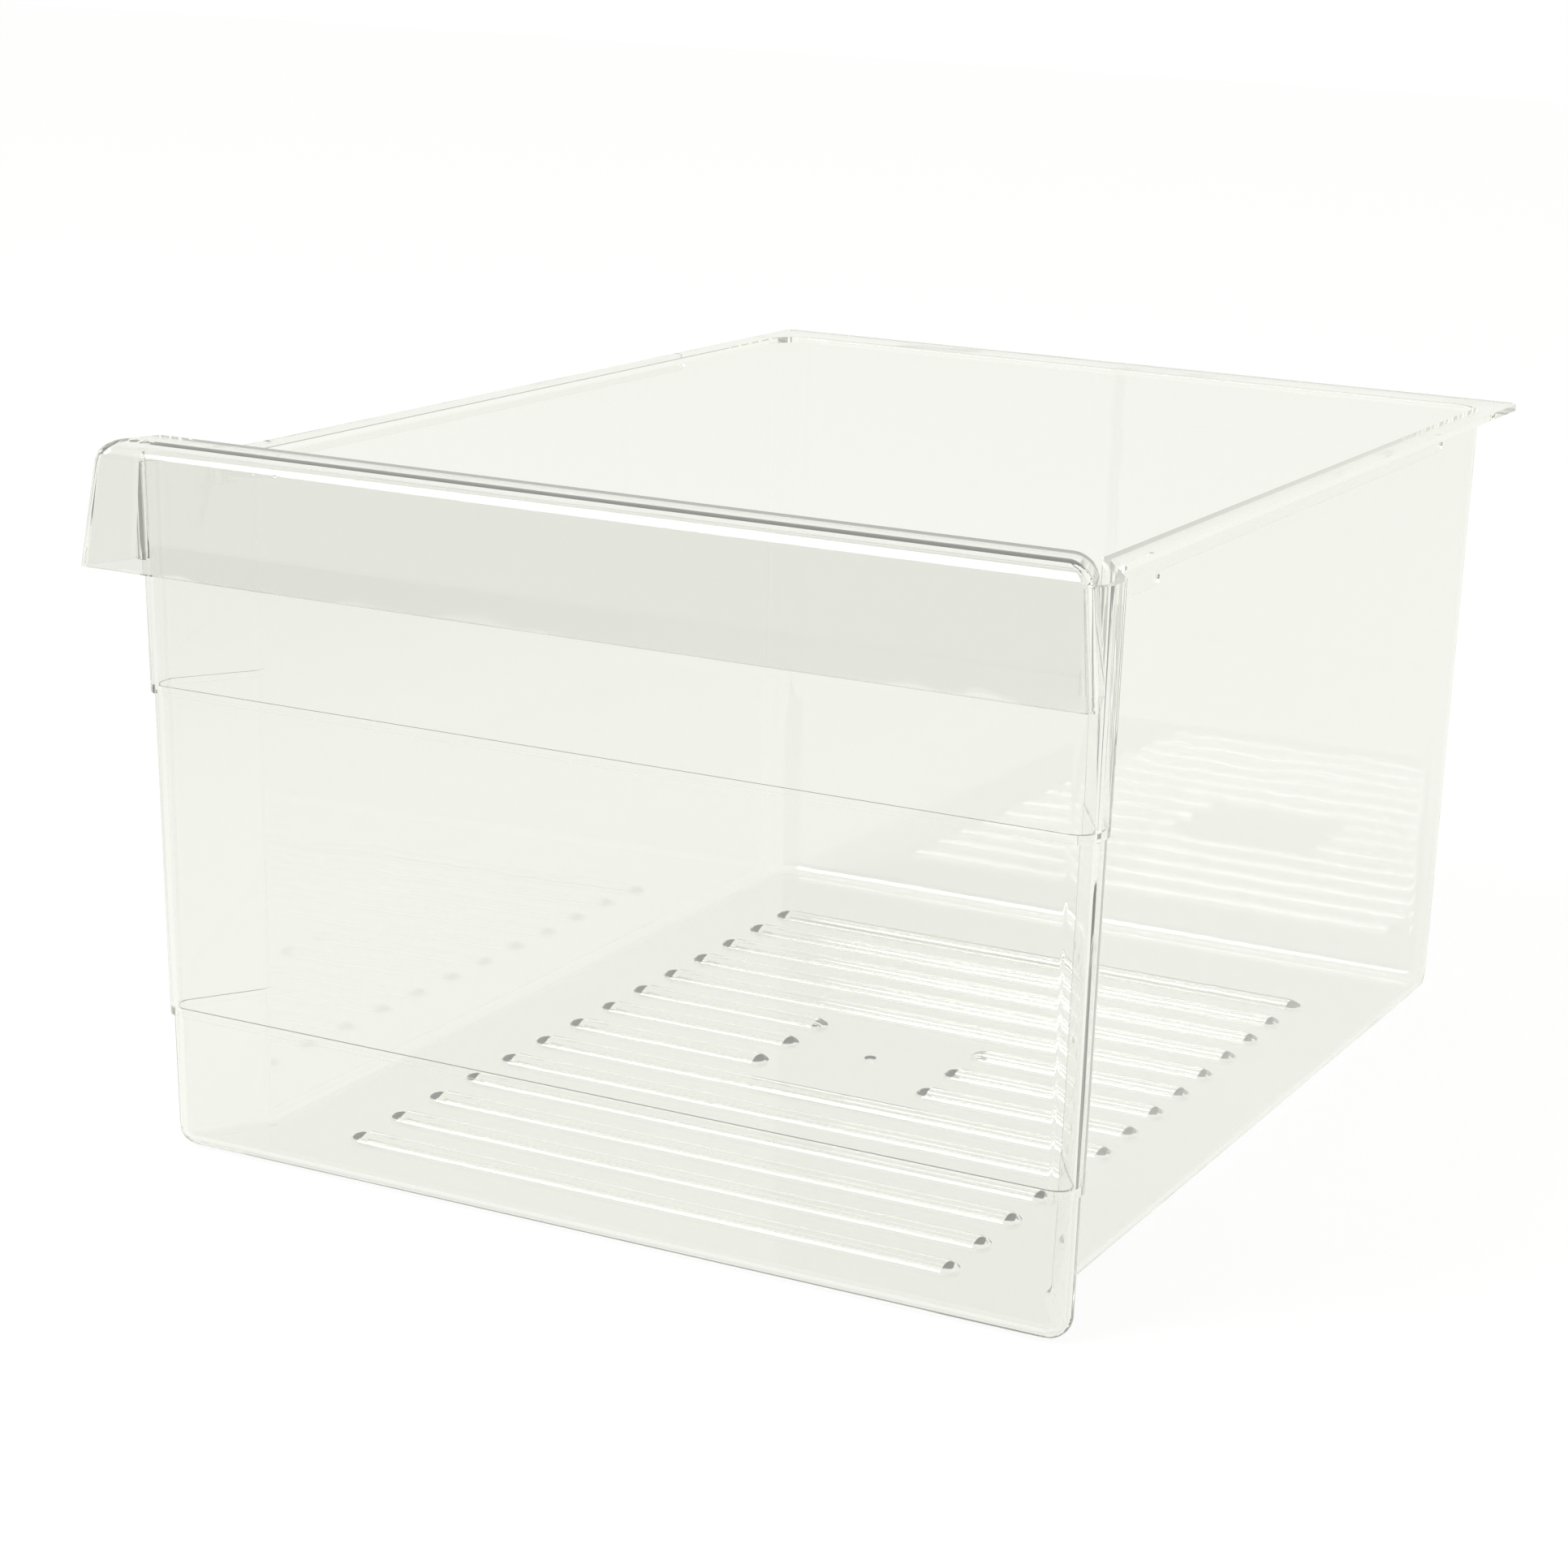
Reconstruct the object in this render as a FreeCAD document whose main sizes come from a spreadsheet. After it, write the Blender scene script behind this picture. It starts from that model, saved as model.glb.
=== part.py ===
"""Fridge crisper drawer: one clear injection moulding.

Millimetres, +Z up, front towards -Y. The origin is under the middle of the outside box.
"""
import FreeCAD, Part
import math
import os
import Sketcher

# Driving dimensions, lengths in millimetres and angles in degrees
SIZES = {
    # outside box
    "overall_depth": 450.0,     # pull skirt to rear flange
    "overall_height": 247.0,    # underside of the foot to top of the pull
    # walls
    "wall": 2.5,
    "floor": 2.5,
    "draft": 0.9,
    # tub
    "tub_width": 304.5,         # outside, at the foot
    "rim_height": 237.5,        # top of the runner flanges
    "foot_round": 7.0,
    "rear_round": 14.0,
    # front panel, which is wider than the tub and rises in three tiers
    "panel_width": 335.0,       # outside, at the foot
    "tier_step": 0.9,
    "lower_line": 48.0,
    "upper_line": 160.5,
    "corner_round": 7.5,
    "return_depth": 9.5,        # straight part behind the panel's corners
    "cheek_angle": 33.0,        # from the drawer's length to the cheek behind the return
    "bend_round": 5.0,
    # pull along the top of the front panel
    "pull_width": 361.5,        # across the skirt's lower corners, before they are rounded
    "pull_reach": 25.5,         # panel's foot to the skirt's lower edge
    "pull_back": 4.0,           # how far the pull's ends run back from the panel's foot
    "skirt_drop": 41.5,
    "skirt_flare": 5.0,
    "end_angle": 19.0,          # from the drawer's length to the pull's ends, which narrow to the panel
    "pull_round": 8.0,          # along the pull's upper edges
    "pull_corner": 3.5,         # down the skirt's front corners
    # runner flanges and rear flange
    "runner_width": 327.0,      # across the lips
    "runner_front": 20.0,       # panel's foot to the front end of the flanges
    "rear_flange": 16.0,
    "flange": 2.5,
    "flange_corner": 4.0,
    "lip_wall": 2.2,
    "lip_drop": 6.5,            # top of the flange to the lip's lower edge
    "lip_short": 95.0,          # lip's rear end to the rear flange's edge
    "lip_round": 3.5,
    "stop_drop": 10.8,
    "stop_length": 38.0,
    # floor ribs, with a bare patch round the gate
    "rib_width": 10.0,
    "rib_height": 2.4,
    "rib_span": 233.0,
    "rib_first": 35.5,          # panel's foot to the first rib's middle
    "rib_pitch": 23.5,
    "patch_width": 62.0,
    "gate_radius": 2.5,
    "gate_depth": 0.8,
}
RIBS_BEFORE_PATCH = 6
RIBS_AT_PATCH = 3
RIBS_BEHIND_PATCH = 5

START_RADIUS = 100.0    # where a sketch's corners lie before their sizes place them
TOLERANCE = 0.001       # for finding edges at a level
STEEP = 0.5             # a face whose normal rises less than this stands up
ROUND_SHARE = 0.9       # most of the room at hand that a round takes up

# Places along the drawer, as expressions of the sizes
FOOT_Y = "(Sizes.pull_reach - Sizes.overall_depth / 2)"
REAR_Y = "(Sizes.overall_depth / 2)"
DRAFT = "tan(Sizes.draft * 1 deg)"
FLARE = "tan(Sizes.skirt_flare * 1 deg)"
SKIRT_FOOT = "(Sizes.overall_height - Sizes.skirt_drop)"
FLANGE_UNDER = "(Sizes.rim_height - Sizes.flange)"
ABOVE_ALL = "(max(Sizes.overall_height; Sizes.rim_height) + Sizes.wall)"
RIB_RADIUS = "(Sizes.rib_width ^ 2 / 4 + Sizes.rib_height ^ 2) / (2 * Sizes.rib_height)"
LYING = FreeCAD.Rotation(FreeCAD.Vector(0, 1, 0), 90)
TIER_FOOTS = ["0", "Sizes.lower_line", "Sizes.upper_line"]
TOP_TIER = len(TIER_FOOTS) - 1

doc = FreeCAD.newDocument("crisper_drawer")
sheet = doc.addObject("Spreadsheet::Sheet", "Sizes")
for row, (alias, value) in enumerate(SIZES.items(), start=1):
    sheet.set(f"A{row}", alias)
    sheet.set(f"B{row}", str(value))
    sheet.setAlias(f"B{row}", alias)
doc.recompute()


def new_body(name):
    return doc.addObject("PartDesign::Body", name)


def origin_plane(body, role):
    planes = [feature for feature in body.Origin.OriginFeatures if feature.Role == role]
    return planes[0]


def new_sketch(body, name, plane, offset):
    """Empty sketch on one of the body's own origin planes, moved along its normal by an expression."""
    sketch = body.newObject("Sketcher::SketchObject", name)
    sketch.AttachmentSupport = [(origin_plane(body, plane), "")]
    sketch.MapMode = "FlatFace"
    sketch.setExpression("AttachmentOffset.Base.z", offset)
    return sketch


def place_point(sketch, line, point, across, along):
    """Tie one end of a line to the sketch's origin by two expressions."""
    for kind, expression in (("DistanceX", across), ("DistanceY", along)):
        number = sketch.addConstraint(Sketcher.Constraint(kind, -1, 1, line, point, 1.0))
        sketch.setExpression(f"Constraints[{number}]", expression)


def closed_lines(sketch, count):
    """A closed chain of lines round a circle, ready to have its corners placed."""
    first = sketch.GeometryCount
    turns = [2 * math.pi * index / count for index in range(count)]
    corners = [FreeCAD.Vector(math.cos(turn), math.sin(turn), 0) * START_RADIUS for turn in turns]
    for start, end in zip(corners, corners[1:] + corners[:1]):
        sketch.addGeometry(Part.LineSegment(start, end), False)
    for index in range(count):
        following = first + (index + 1) % count
        sketch.addConstraint(Sketcher.Constraint("Coincident", first + index, 2, following, 1))
    return first


def polygon(sketch, corners):
    """Closed outline with every corner placed by a pair of expressions."""
    first = closed_lines(sketch, len(corners))
    for index, (across, along) in enumerate(corners):
        place_point(sketch, first + index, 1, across, along)


def mirrored(corners):
    """Right half of an outline, front to rear, completed by its mirror image."""
    return corners + [(f"-({across})", along) for across, along in reversed(corners)]


def edges_where(feature, wanted):
    """Names of the feature's edges that pass a test on their ends and middle."""
    names = []
    for number, edge in enumerate(feature.Shape.Edges, start=1):
        middle = edge.valueAt((edge.FirstParameter + edge.LastParameter) / 2)
        ends = [vertex.Point for vertex in edge.Vertexes]
        if wanted(middle, ends):
            names.append(f"Edge{number}")
    return names


def edges_at(feature, level):
    """Names of the edges that lie at one height."""
    return edges_where(feature, lambda middle, ends: all(
        abs(point.z - level) < TOLERANCE for point in [middle] + ends))


def lowest(feature):
    return min(vertex.Z for vertex in feature.Shape.Vertexes)


def highest(feature):
    return max(vertex.Z for vertex in feature.Shape.Vertexes)


def middle_of_depth(feature):
    depths = [vertex.Y for vertex in feature.Shape.Vertexes]
    return (min(depths) + max(depths)) / 2


def edge_middle(feature, name):
    return feature.Shape.getElement(name).CenterOfMass


def edge_runs_across(feature, name):
    box = feature.Shape.getElement(name).BoundBox
    return box.XLength > box.YLength


def upright_edges(feature):
    """Names of the edges that climb, from the front to the rear."""
    found = []
    for number, edge in enumerate(feature.Shape.Edges, start=1):
        low, high = edge.BoundBox.ZMin, edge.BoundBox.ZMax
        if high - low > edge.Length / 2:
            found.append((round(edge.CenterOfMass.y, 3), f"Edge{number}"))
    return [name for _, name in sorted(found)]


def upright_faces(feature):
    """Names of the faces that stand up, from the front to the rear."""
    found = []
    for number, face in enumerate(feature.Shape.Faces, start=1):
        if abs(face.normalAt(0, 0).z) < STEEP:
            found.append((round(face.CenterOfMass.y, 3), f"Face{number}"))
    return [name for _, name in sorted(found)]


def round_edges(body, base, name, edges, radius):
    feature = body.newObject("PartDesign::Fillet", name)
    feature.Refine = False
    feature.Base = (base, edges)
    feature.setExpression("Radius", radius)
    doc.recompute()
    return feature


def pad(body, name, sketch, length, downward=False):
    feature = body.newObject("PartDesign::Pad", name)
    feature.Profile = sketch
    feature.Reversed = downward
    feature.setExpression("Length", length)
    doc.recompute()
    return feature


def drafted(body, base, name, faces, angle, inward=False):
    """Lean upright faces about the level of the foot, outward with height unless told otherwise."""
    feature = body.newObject("PartDesign::Draft", name)
    feature.Base = (base, faces)
    feature.NeutralPlane = (origin_plane(body, "XY_Plane"), [""])
    feature.Reversed = not inward
    feature.setExpression("Angle", angle)
    doc.recompute()
    return feature


def block(body, name, outline, bottom, top):
    """Upright block on an outline, between two levels."""
    sketch = new_sketch(body, f"{name}_outline", "XY_Plane", bottom)
    polygon(sketch, outline)
    doc.recompute()
    return pad(body, f"{name}_block", sketch, f"{top} - ({bottom})")


def tub_outline(tier, inset):
    """Plan of the tub and its flared front, brought down to the foot and drawn in by inset."""
    spread = f"{tier} * Sizes.tier_step - {inset}"
    panel_x = f"(Sizes.panel_width / 2 + {spread})"
    panel_y = f"({FOOT_Y} - ({spread}))"
    side_x = f"(Sizes.tub_width / 2 - {inset})"
    bend_y = f"({FOOT_Y} + Sizes.return_depth - {inset} * tan(Sizes.cheek_angle * 0.5 deg))"
    cheek_y = f"({bend_y} + ({panel_x} - {side_x}) / tan(Sizes.cheek_angle * 1 deg))"
    rear_y = f"({REAR_Y} - Sizes.rear_flange - Sizes.rim_height * {DRAFT} - {inset})"
    return mirrored([(panel_x, panel_y), (panel_x, bend_y), (side_x, cheek_y), (side_x, rear_y)])


def tier_body(name, tier, bottom, top, inset, foot_round=None):
    """One tier of the tub as a solid block: drafted, with rounded corners and bends."""
    body = new_body(name)
    last = block(body, name, tub_outline(tier, inset), bottom, top)
    last = drafted(body, last, f"{name}_draft", upright_faces(last), "Sizes.draft")
    # rear edges first, so that the edges in front of them keep their order
    pairs = [("rear", 6, f"Sizes.rear_round - {inset}"), ("cheek", 4, f"Sizes.bend_round + {inset}"),
             ("bend", 2, f"Sizes.bend_round - {inset}"), ("corner", 0, f"Sizes.corner_round - {inset}")]
    for place, first, radius in pairs:
        edges = upright_edges(last)[first:first + 2]
        last = round_edges(body, last, f"{name}_{place}", edges, radius)
    if foot_round:
        round_edges(body, last, f"{name}_foot_round", edges_at(last, lowest(last)), foot_round)
    return body


def outer_tiers():
    """The outside of the tub as three blocks; the top one also carries the flanges."""
    lower = tier_body("lower_tier", 0, TIER_FOOTS[0], TIER_FOOTS[1], "0", "Sizes.foot_round")
    middle = tier_body("middle_tier", 1, TIER_FOOTS[1], TIER_FOOTS[2], "0")
    upper = tier_body("upper_tier", TOP_TIER, TIER_FOOTS[2], "Sizes.rim_height", "0")
    add_flanges(upper)
    return [lower, middle, upper]


def add_flanges(body):
    """Flat flange round the sides and rear, with lips and stops hanging from its sides."""
    half = "Sizes.runner_width / 2"
    front = f"{FOOT_Y} + Sizes.runner_front"
    plan = new_sketch(body, "flange_plan", "XY_Plane", FLANGE_UNDER)
    polygon(plan, mirrored([(half, front), (half, REAR_Y)]))
    plate = pad(body, "flange_plate", plan, "Sizes.flange")
    round_edges(body, plate, "flange_corners", upright_edges(plate)[-2:], "Sizes.flange_corner")
    lip_rear = f"{REAR_Y} - Sizes.lip_short"
    stop_rear = f"{front} + Sizes.stop_length"
    inner = f"{half} - Sizes.lip_wall"
    for name, rear, shoulder in (("lip", lip_rear, "flange"), ("stop", stop_rear, "lip_drop")):
        drop = f"{name}_drop"
        strips = new_sketch(body, f"{name}_plan", "XY_Plane", FLANGE_UNDER)
        for sign in ("", "-1 * "):
            near, far = f"{sign}({inner})", f"{sign}({half})"
            polygon(strips, [(near, front), (far, front), (far, rear), (near, rear)])
        strip = pad(body, f"{name}_strips", strips, f"Sizes.{drop} - Sizes.flange", downward=True)
        level = sheet.rim_height - getattr(sheet, drop)
        crossing = [edge for edge in edges_at(strip, level) if edge_runs_across(strip, edge)]
        rear_ends = sorted(crossing, key=lambda edge: edge_middle(strip, edge).y)[-2:]
        round_edges(body, strip, f"{name}_ends", rear_ends,
                    f"min(Sizes.lip_round; (Sizes.{drop} - Sizes.{shoulder}) * {ROUND_SHARE})")


def pull_block(name, inset, top, back):
    """Block with a flared front and ends that narrow to the panel, rounded along the front and top."""
    body = new_body(name)
    spread = f"({SKIRT_FOOT} * {FLARE} - {inset})"
    side = f"Sizes.pull_width / 2 + {spread} / cos(Sizes.end_angle * 1 deg)"
    front = f"{FOOT_Y} - Sizes.pull_reach - {spread}"
    ends = [f"{side} - ({along} - {FOOT_Y} + Sizes.pull_reach) * tan(Sizes.end_angle * 1 deg)"
            for along in (front, back)]
    last = block(body, name, mirrored([(ends[0], front), (ends[1], back)]), SKIRT_FOOT, top)
    last = drafted(body, last, f"{name}_flare", upright_faces(last)[:3], "Sizes.skirt_flare", inward=True)
    last = drafted(body, last, f"{name}_back", upright_faces(last)[3:], "Sizes.draft", inward=True)
    top_level, halfway = highest(last) - TOLERANCE, middle_of_depth(last)
    edges = edges_where(last, lambda middle, ends: (
        middle.z > top_level and min(point.y for point in ends) < halfway))
    last = round_edges(body, last, f"{name}_rounds", edges, f"Sizes.pull_round - {inset}")
    round_edges(body, last, f"{name}_corners", upright_edges(last)[:2], f"Sizes.pull_corner - {inset}")
    return body


def pull():
    """Pull along the top of the front: a channel, open below, between the panel and a flared skirt."""
    outer = pull_block("pull_outside", "0", "Sizes.overall_height", f"({FOOT_Y} + Sizes.pull_back)")
    hollow = pull_block("pull_hollow", "Sizes.wall", "(Sizes.overall_height - Sizes.wall)",
                        f"({FOOT_Y} - {TOP_TIER} * Sizes.tier_step)")
    return combine("Cut", "pull", outer, hollow)


def cavity():
    """The inside of the tub as three blocks that follow the outside at one wall's distance."""
    levels = ["Sizes.floor", "Sizes.lower_line + Sizes.wall", "Sizes.upper_line + Sizes.wall", ABOVE_ALL]
    blocks = []
    for tier, name in enumerate(("lower_hollow", "middle_hollow", "upper_hollow")):
        foot_round = "Sizes.foot_round - Sizes.wall" if tier == 0 else None
        body = tier_body(name, tier, levels[tier], levels[tier + 1], "Sizes.wall", foot_round)
        blocks.append(body)
    return blocks


def fuse(name, pieces):
    joined = doc.addObject("Part::MultiFuse", name)
    joined.Shapes = pieces
    joined.Refine = True
    doc.recompute()
    return joined


def combine(kind, name, base, tool):
    """Cut or Common of two objects."""
    result = doc.addObject(f"Part::{kind}", name)
    result.Base = base
    result.Tool = tool
    result.Refine = True
    doc.recompute()
    return result


def place(item, across, along, level):
    for axis, expression in zip("xyz", (across, along, level)):
        item.setExpression(f"Placement.Base.{axis}", expression)


def rib_spans():
    """Ends of each row's ribs, short of their rounding. A bare patch round the gate breaks some rows."""
    outer, inner = "(Sizes.rib_span - Sizes.rib_width) / 2", "(Sizes.patch_width + Sizes.rib_width) / 2"
    whole = [(f"-{outer}", outer)]
    broken = [(f"-{outer}", f"-{inner}"), (inner, outer)]
    return [whole] * RIBS_BEFORE_PATCH + [broken] * RIBS_AT_PATCH + [whole] * RIBS_BEHIND_PATCH


def place_on_row(item, row, across, radius):
    """Put a bar or ball on the axis of a row's ribs."""
    item.setExpression("Radius", radius)
    along = f"{FOOT_Y} + Sizes.rib_first + {row} * Sizes.rib_pitch"
    place(item, across, along, f"Sizes.floor + Sizes.rib_height - {RIB_RADIUS}")


def lying_bar(name, row, ends, radius):
    left, right = ends
    bar = doc.addObject("Part::Cylinder", name)
    bar.Placement = FreeCAD.Placement(FreeCAD.Vector(), LYING)
    bar.setExpression("Height", f"{right} - ({left})")
    place_on_row(bar, row, left, radius)
    return bar


def floor_ribs():
    """Ribs across the floor: crowns of lying bars with ball ends, cut off inside the floor."""
    pieces = []
    for row, spans in enumerate(rib_spans()):
        for number, ends in enumerate(spans):
            name = f"rib_{row}_{number}"
            pieces.append(lying_bar(name, row, ends, RIB_RADIUS))
            for side, across in zip(("left", "right"), ends):
                ball = doc.addObject("Part::Sphere", f"{name}_{side}")
                place_on_row(ball, row, across, RIB_RADIUS)
                pieces.append(ball)
    slab = doc.addObject("Part::Box", "above_floor_middle")
    slab.setExpression("Length", "Sizes.tub_width")
    slab.setExpression("Width", "Sizes.overall_depth")
    slab.setExpression("Height", "Sizes.floor + Sizes.rib_height")
    place(slab, "-Sizes.tub_width / 2", "-Sizes.overall_depth / 2", "Sizes.floor / 2")
    return combine("Common", "ribs", fuse("rib_bars", pieces), slab)


def rib_grooves():
    """Grooves in the underside that follow the ribs, so that the floor keeps its thickness."""
    bars = []
    for row, spans in enumerate(rib_spans()):
        for number, ends in enumerate(spans):
            bars.append(lying_bar(f"groove_{row}_{number}", row, ends, f"{RIB_RADIUS} - Sizes.floor"))
    return fuse("grooves", bars)


def gate_mark():
    """Shallow dimple in the middle of the bare patch, where the plastic was let in."""
    dimple = doc.addObject("Part::Cone", "gate_mark")
    middle_rib = RIBS_BEFORE_PATCH + (RIBS_AT_PATCH - 1) / 2
    dimple.setExpression("Radius1", "Sizes.gate_radius / 2")
    dimple.setExpression("Radius2", "Sizes.gate_radius")
    dimple.setExpression("Height", "Sizes.gate_depth")
    along = f"{FOOT_Y} + Sizes.rib_first + {middle_rib} * Sizes.rib_pitch"
    place(dimple, "0", along, "Sizes.floor - Sizes.gate_depth")
    return dimple


outside = fuse("outside", outer_tiers() + [pull()])
inside = fuse("inside", cavity())
shell = combine("Cut", "shell", outside, inside)
ribbed = fuse("ribbed", [shell, floor_ribs()])
grooved = combine("Cut", "grooved", ribbed, rib_grooves())
crisper_pan = combine("Cut", "crisper_pan", grooved, gate_mark())
crisper_pan.Label = "crisper_pan"
doc.recompute()

for item in doc.Objects:
    if "Invalid" in item.State or "Error" in item.State:
        raise RuntimeError(f"{item.Name} did not build: {item.State}")
shape = crisper_pan.Shape
if shape.isNull() or not shape.isValid() or len(shape.Solids) != 1:
    raise RuntimeError("crisper_pan is not one sound solid")
os.makedirs("parts", exist_ok=True)
shape.exportStep("parts/crisper_pan.step")
print("crisper_pan", round(shape.Volume / 1000, 1), "cm3")
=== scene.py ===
"""Looks of the fridge crisper drawer: clear moulded plastic in a white studio.

Metres, in the drawer's own frame: +Z up, front towards -Y, standing on Z = 0.
"""
import math

import bpy
from mathutils import Matrix, Vector


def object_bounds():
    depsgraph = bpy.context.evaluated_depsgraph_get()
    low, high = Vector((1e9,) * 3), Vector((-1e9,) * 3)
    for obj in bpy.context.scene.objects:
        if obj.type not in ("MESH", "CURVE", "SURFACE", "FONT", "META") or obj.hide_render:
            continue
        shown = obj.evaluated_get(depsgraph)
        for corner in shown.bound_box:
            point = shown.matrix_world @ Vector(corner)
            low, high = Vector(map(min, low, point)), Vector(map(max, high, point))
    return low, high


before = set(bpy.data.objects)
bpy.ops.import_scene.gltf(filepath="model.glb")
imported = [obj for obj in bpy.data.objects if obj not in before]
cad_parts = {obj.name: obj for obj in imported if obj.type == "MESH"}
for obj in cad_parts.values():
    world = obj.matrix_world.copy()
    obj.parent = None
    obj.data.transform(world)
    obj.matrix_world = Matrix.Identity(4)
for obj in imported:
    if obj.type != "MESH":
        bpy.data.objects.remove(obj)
cad_low, cad_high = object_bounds()
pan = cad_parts["crisper_pan"]

# Plastic
REFRACTION = 1.59
TINT = (0.955, 0.958, 0.951, 1.0)       # what one wall leaves
DEPTH_TINT = (0.69, 0.72, 0.60, 1.0)    # and what a long way along the plastic leaves
DEPTH_DENSITY = 5.0
PAINTED_DEPTH_GLOW = 5.0                        # painted glow: the plastic emits the studio tone itself, per metre of way, in place of light kept in the walls
ROUGHNESS = (0.004, 0.03)               # from polished to faintly dull
BLOOM_SCALE, BLOOM_DETAIL = 38.0, 6.0   # patches of duller polish
BLOOM_RANGE = (0.42, 0.75)              # of the noise, over which the polish goes
WAVE_SCALE, WAVE_DETAIL = 16.0, 2.0     # slow waves of the moulded faces
WAVE_STRENGTH, WAVE_HEIGHT = 0.25, 0.0006

# Shading of the mesh
WELD_DISTANCE = 1e-6
FLAT_ANGLE = math.radians(0.5)
EDGE_ANGLE = math.radians(35.0)
EDGE_ROUND = 0.0005                     # at most, since the smallest face limits every edge
EDGE_SEGMENTS = 2
FACE_WEIGHT = 100                       # large faces decide the normals

# Camera, a long lens above and to the right of the front
IMAGE_SIDE = 1932
FOCAL_PIXELS = 4247.4
AXIS_PIXEL = Vector((1201.5, 991.7))    # where the optical axis meets the image
CAMERA_AT = Vector((0.5476, -1.0903, 0.4351))
YAW, PITCH, ROLL = math.radians(25.01), math.radians(15.28), math.radians(2.18)

# Studio, plain white to the camera and a pale warm tone in and through the plastic
WHITE = (1.0, 1.0, 1.0, 1.0)
BLACK = (0.0, 0.0, 0.0, 1.0)
STUDIO_TONE = (0.920, 0.925, 0.872, 1.0)
FLOOR_GAP = 0.0004
FLOOR_SIZE = 12.0
FLOOR_GLOW = 0.90
FLOOR_COLOUR = (0.16, 0.16, 0.16, 1.0)
SKY_LIGHT = 0.6
KEY_AT, KEY_TOWARDS = (-1.2, -1.6, 2.4), (0, 0, 0.1)
KEY_SIZE, KEY_POWER = 1.6, 40.0

# Dark cards, painted shade in the plastic's reflections and refractions: a card far in front, and an
# apron on the floor, front left, seen only in reflection, that fades out to the right
CARD_TONE = 0.03
FRONT_CARD_WIDTH, FRONT_CARD_HEIGHT = 7.0, 2.4
FRONT_CARD_AT = (0, -2.3, 1.23)
APRON_SIDE = 2.0
APRON_AT = (-1.04, -1.39, 0.002)
APRON_TURN = math.radians(108.0)
APRON_FADE = 0.75                       # share of its length that stays dark

BOUNCES = 16                            # light goes back and forth in the walls
GLOSSY_BOUNCES = 10
UP, REARWARD = (0, 0, 1), (0, 1, 0)


def add_camera():
    """Camera at the photograph's viewing angle, with its framing."""
    data = bpy.data.cameras.new("camera")
    data.lens = FOCAL_PIXELS * data.sensor_width / IMAGE_SIDE
    data.shift_x = 0.5 - AXIS_PIXEL.x / IMAGE_SIDE
    data.shift_y = AXIS_PIXEL.y / IMAGE_SIDE - 0.5
    camera = bpy.data.objects.new("camera", data)
    turn = (Matrix.Rotation(YAW, 4, "Z") @ Matrix.Rotation(math.pi / 2 - PITCH, 4, "X")
            @ Matrix.Rotation(ROLL, 4, "Z"))
    camera.matrix_world = Matrix.Translation(CAMERA_AT) @ turn
    bpy.context.scene.collection.objects.link(camera)
    bpy.context.scene.camera = camera


def new_material(name):
    material = bpy.data.materials.new(name)
    material.use_nodes = True
    return material, material.node_tree.nodes, material.node_tree.links


def add_noise(nodes, links, place, scale, detail):
    noise = nodes.new("ShaderNodeTexNoise")
    noise.inputs["Scale"].default_value = scale
    noise.inputs["Detail"].default_value = detail
    links.new(place.outputs["Object"], noise.inputs["Vector"])
    return noise


def clear_plastic():
    """Clear polystyrene: polished, a little wavy as mouldings are, tinted in its depth, and with a
    painted glow in its depth.
    """
    material, nodes, links = new_material("clear_plastic")
    shader = nodes["Principled BSDF"]
    shader.inputs["Base Color"].default_value = TINT
    shader.inputs["Transmission Weight"].default_value = 1.0
    shader.inputs["IOR"].default_value = REFRACTION
    place = nodes.new("ShaderNodeTexCoord")

    bloom = add_noise(nodes, links, place, BLOOM_SCALE, BLOOM_DETAIL)
    polish = nodes.new("ShaderNodeMapRange")
    polish.inputs["From Min"].default_value, polish.inputs["From Max"].default_value = BLOOM_RANGE
    polish.inputs["To Min"].default_value, polish.inputs["To Max"].default_value = ROUGHNESS
    links.new(bloom.outputs["Fac"], polish.inputs["Value"])
    links.new(polish.outputs["Result"], shader.inputs["Roughness"])

    waves = add_noise(nodes, links, place, WAVE_SCALE, WAVE_DETAIL)
    bump = nodes.new("ShaderNodeBump")
    bump.inputs["Strength"].default_value = WAVE_STRENGTH
    bump.inputs["Distance"].default_value = WAVE_HEIGHT
    links.new(waves.outputs["Fac"], bump.inputs["Height"])
    links.new(bump.outputs["Normal"], shader.inputs["Normal"])

    depth = nodes.new("ShaderNodeVolumeAbsorption")
    depth.inputs["Color"].default_value = DEPTH_TINT
    depth.inputs["Density"].default_value = DEPTH_DENSITY
    # painted glow: emission in the plastic's volume, light that the plastic gives off though it is
    # no lamp
    painted_glow = nodes.new("ShaderNodeEmission")
    painted_glow.inputs["Color"].default_value = STUDIO_TONE
    painted_glow.inputs["Strength"].default_value = PAINTED_DEPTH_GLOW
    inside = nodes.new("ShaderNodeAddShader")
    links.new(depth.outputs["Volume"], inside.inputs[0])
    links.new(painted_glow.outputs["Emission"], inside.inputs[1])
    links.new(inside.outputs["Shader"], nodes["Material Output"].inputs["Volume"])
    return material


def dress_pan():
    """Clear plastic and even shading on the drawer's own mesh."""
    pan.data.materials.clear()
    pan.data.materials.append(clear_plastic())
    for face in pan.data.polygons:
        face.use_smooth = True
    weld = pan.modifiers.new("weld", "WELD")
    weld.merge_threshold = WELD_DISTANCE
    flats = pan.modifiers.new("whole_flats", "DECIMATE")
    flats.decimate_type = "DISSOLVE"
    flats.angle_limit = FLAT_ANGLE
    edges = pan.modifiers.new("moulded_edges", "BEVEL")
    edges.width = EDGE_ROUND
    edges.segments = EDGE_SEGMENTS
    edges.limit_method = "ANGLE"
    edges.angle_limit = EDGE_ANGLE
    shading = pan.modifiers.new("even_shading", "WEIGHTED_NORMAL")
    shading.weight = FACE_WEIGHT


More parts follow.
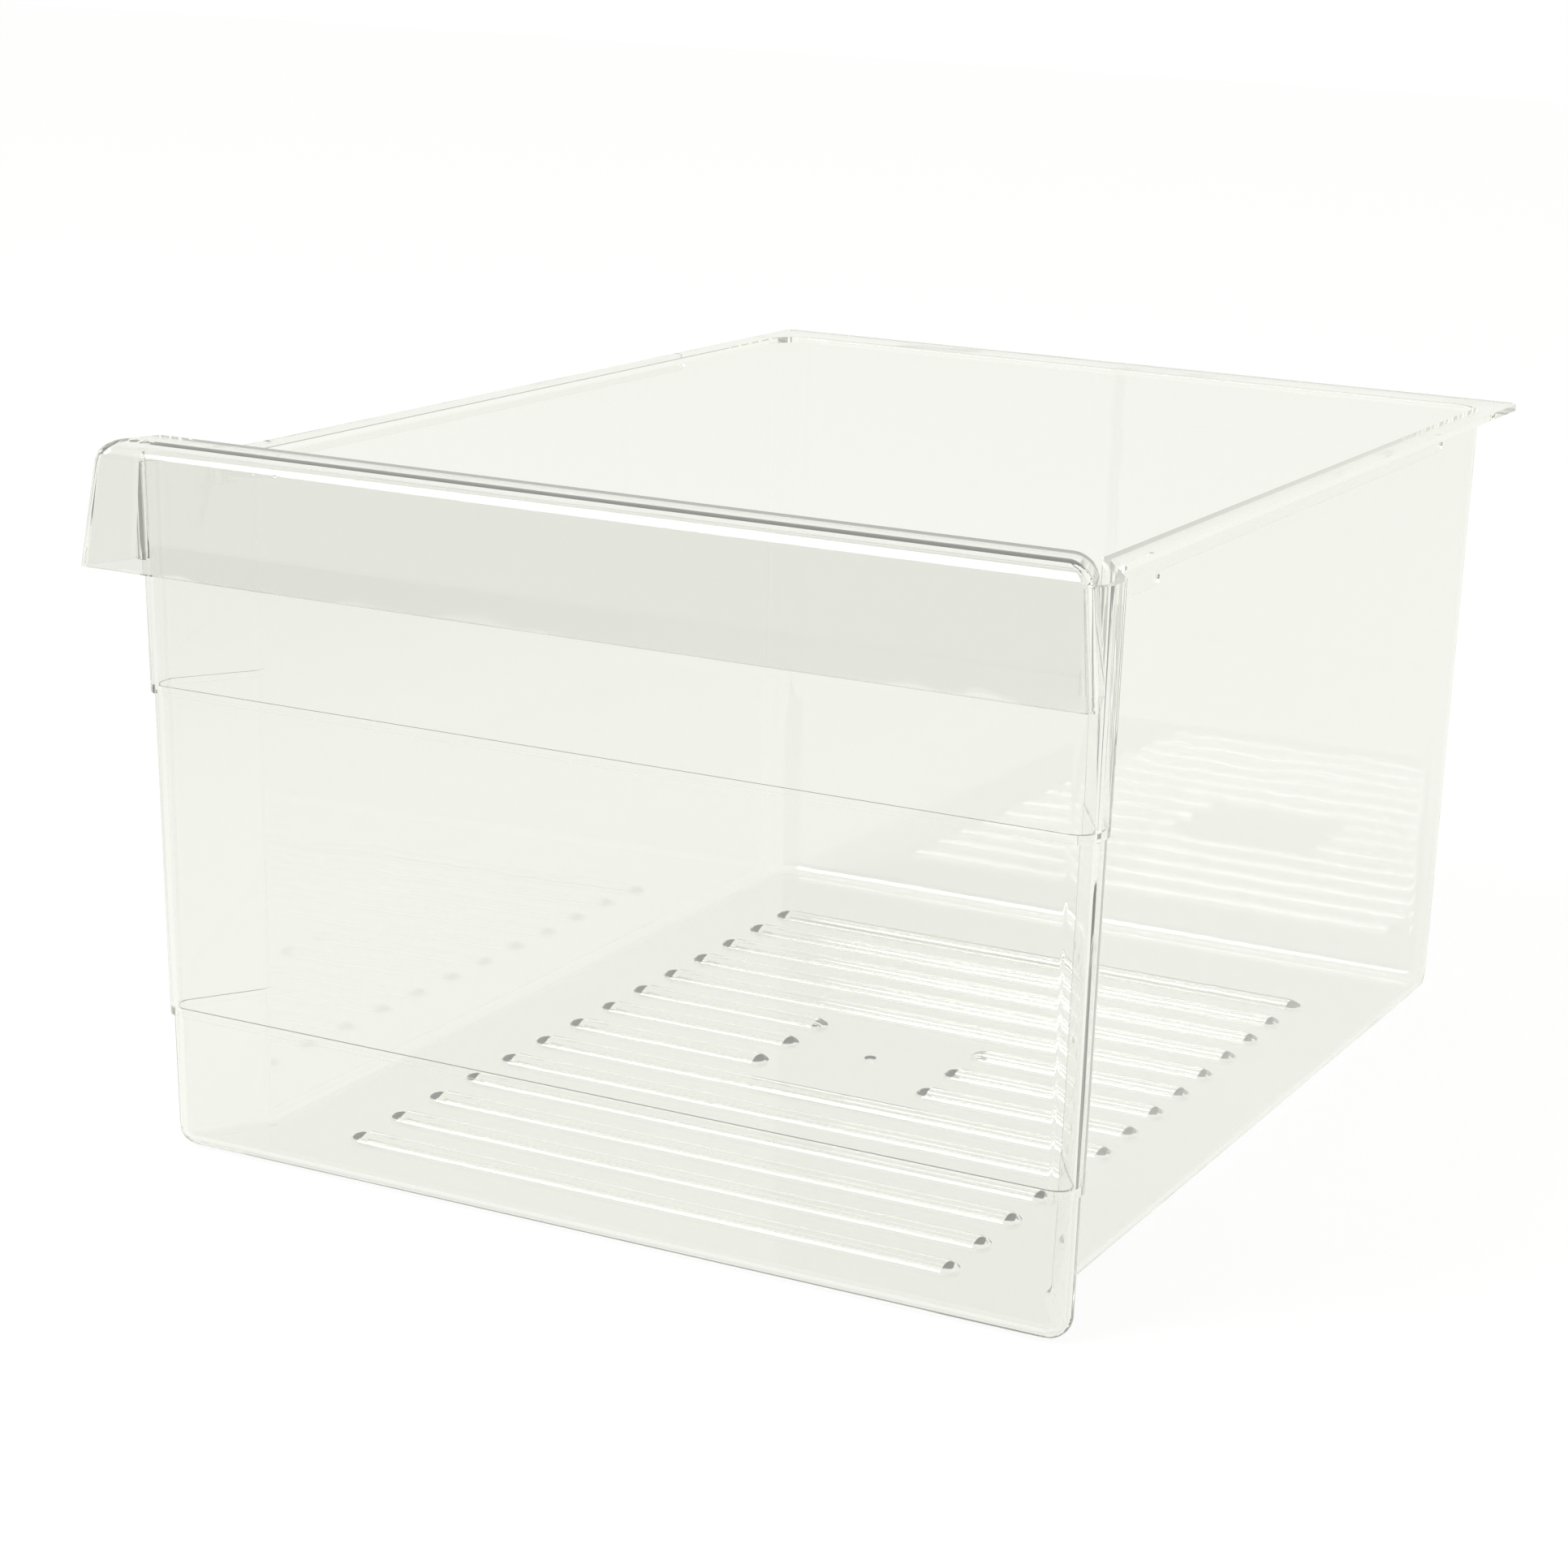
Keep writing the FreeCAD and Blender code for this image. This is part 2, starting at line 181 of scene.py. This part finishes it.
def plastic_ray(nodes, links, path):
    """1 for what is seen in the plastic or through it."""
    either = nodes.new("ShaderNodeMath")
    either.operation = "MAXIMUM"
    links.new(path.outputs["Is Glossy Ray"], either.inputs[0])
    links.new(path.outputs["Is Transmission Ray"], either.inputs[1])
    return either.outputs["Value"]


def scaled(nodes, links, value, factor):
    product = nodes.new("ShaderNodeMath")
    product.operation = "MULTIPLY"
    product.inputs[1].default_value = factor
    links.new(value, product.inputs[0])
    return product.outputs["Value"]


def add_plane(name, width, height, at, facing, spin=0.0):
    """Upright or level rectangle in the studio that faces along a direction, spun about it."""
    across, along = width / 2, height / 2
    mesh = bpy.data.meshes.new(name)
    corners = [(-across, -along, 0), (across, -along, 0), (across, along, 0), (-across, along, 0)]
    mesh.from_pydata(corners, [], [(0, 1, 2, 3)])
    plane = bpy.data.objects.new(name, mesh)
    turn = Vector(facing).to_track_quat("Z", "Y").to_matrix().to_4x4()
    plane.matrix_world = Matrix.Translation(at) @ turn @ Matrix.Rotation(spin, 4, "Z")
    bpy.context.scene.collection.objects.link(plane)
    return plane


def add_floor():
    """White floor that takes a soft shadow."""
    floor = add_plane("floor", FLOOR_SIZE, FLOOR_SIZE, (0, 0, cad_low.z - FLOOR_GAP), UP)
    material, nodes, links = new_material("floor_white")
    path = nodes.new("ShaderNodeLightPath")
    matt = nodes["Principled BSDF"]
    matt.inputs["Base Color"].default_value = FLOOR_COLOUR
    matt.inputs["Roughness"].default_value = 1.0
    matt.inputs["Specular IOR Level"].default_value = 0.0
    matt.inputs["Emission Color"].default_value = STUDIO_TONE
    through = scaled(nodes, links, plastic_ray(nodes, links, path), FLOOR_GLOW)
    links.new(through, matt.inputs["Emission Strength"])
    white = nodes.new("ShaderNodeEmission")
    straight = scaled(nodes, links, path.outputs["Is Camera Ray"], FLOOR_GLOW)
    links.new(straight, white.inputs["Strength"])
    both = nodes.new("ShaderNodeAddShader")
    links.new(matt.outputs["BSDF"], both.inputs[0])
    links.new(white.outputs["Emission"], both.inputs[1])
    links.new(both.outputs["Shader"], nodes["Material Output"].inputs["Surface"])
    floor.data.materials.append(material)


def add_world():
    """White to the camera, the studio's tone to the plastic, and an even light for the rest."""
    world = bpy.data.worlds.new("studio")
    bpy.context.scene.world = world
    world.use_nodes = True
    nodes, links = world.node_tree.nodes, world.node_tree.links
    path = nodes.new("ShaderNodeLightPath")
    studio = nodes["Background"]
    studio.inputs["Color"].default_value = STUDIO_TONE
    strength = nodes.new("ShaderNodeMapRange")
    strength.inputs["To Min"].default_value = SKY_LIGHT
    strength.inputs["To Max"].default_value = 1.0
    links.new(plastic_ray(nodes, links, path), strength.inputs["Value"])
    links.new(strength.outputs["Result"], studio.inputs["Strength"])
    white = nodes.new("ShaderNodeBackground")
    white.inputs["Color"].default_value = WHITE
    choice = nodes.new("ShaderNodeMixShader")
    links.new(path.outputs["Is Camera Ray"], choice.inputs["Fac"])
    links.new(studio.outputs["Background"], choice.inputs[1])
    links.new(white.outputs["Background"], choice.inputs[2])
    links.new(choice.outputs["Shader"], nodes["World Output"].inputs["Surface"])


def add_lamp(name, at, towards, size, power):
    data = bpy.data.lights.new(name, "AREA")
    data.shape = "DISK"
    data.size = size
    data.energy = power
    lamp = bpy.data.objects.new(name, data)
    aim = (Vector(towards) - Vector(at)).to_track_quat("-Z", "Y").to_matrix().to_4x4()
    lamp.matrix_world = Matrix.Translation(at) @ aim
    bpy.context.scene.collection.objects.link(lamp)


def add_card(name, width, height, at, facing, spin=0.0, fade=None):
    """Dark card, a painted reflection that only the plastic picks up; it can fade to the studio's
    tone towards its top.
    """
    card = add_plane(name, width, height, at, facing, spin)
    material, nodes, links = new_material(f"{name}_tone")
    shader = nodes["Principled BSDF"]
    shader.inputs["Base Color"].default_value = BLACK
    shader.inputs["Specular IOR Level"].default_value = 0.0
    shader.inputs["Emission Color"].default_value = STUDIO_TONE
    shader.inputs["Emission Strength"].default_value = CARD_TONE
    if fade:
        place = nodes.new("ShaderNodeTexCoord")
        split = nodes.new("ShaderNodeSeparateXYZ")
        links.new(place.outputs["Generated"], split.inputs["Vector"])
        tone = nodes.new("ShaderNodeMapRange")
        tone.interpolation_type = "SMOOTHSTEP"
        tone.inputs["From Min"].default_value = fade
        tone.inputs["To Min"].default_value = CARD_TONE
        links.new(split.outputs["Y"], tone.inputs["Value"])
        links.new(tone.outputs["Result"], shader.inputs["Emission Strength"])
    card.data.materials.append(material)
    card.visible_camera = False
    card.visible_diffuse = False
    card.visible_shadow = False
    return card


scene = bpy.context.scene
scene.view_settings.view_transform = "Standard"
scene.cycles.max_bounces = BOUNCES
scene.cycles.transmission_bounces = BOUNCES
scene.cycles.glossy_bounces = GLOSSY_BOUNCES

dress_pan()
add_floor()
add_world()
add_lamp("key", KEY_AT, KEY_TOWARDS, KEY_SIZE, KEY_POWER)
# painted dark reflection and refraction: a card far in front that only the plastic shows
add_card("painted_reflection_front_card", FRONT_CARD_WIDTH, FRONT_CARD_HEIGHT, FRONT_CARD_AT, REARWARD)
# painted reflection: a card on the floor that only the plastic's surface reflects, dark over most of
# its length and fading to the studio's tone
painted_reflection_apron = add_card("painted_reflection_apron", APRON_SIDE, APRON_SIDE, APRON_AT, UP, APRON_TURN, APRON_FADE)
painted_reflection_apron.visible_transmission = False
add_camera()
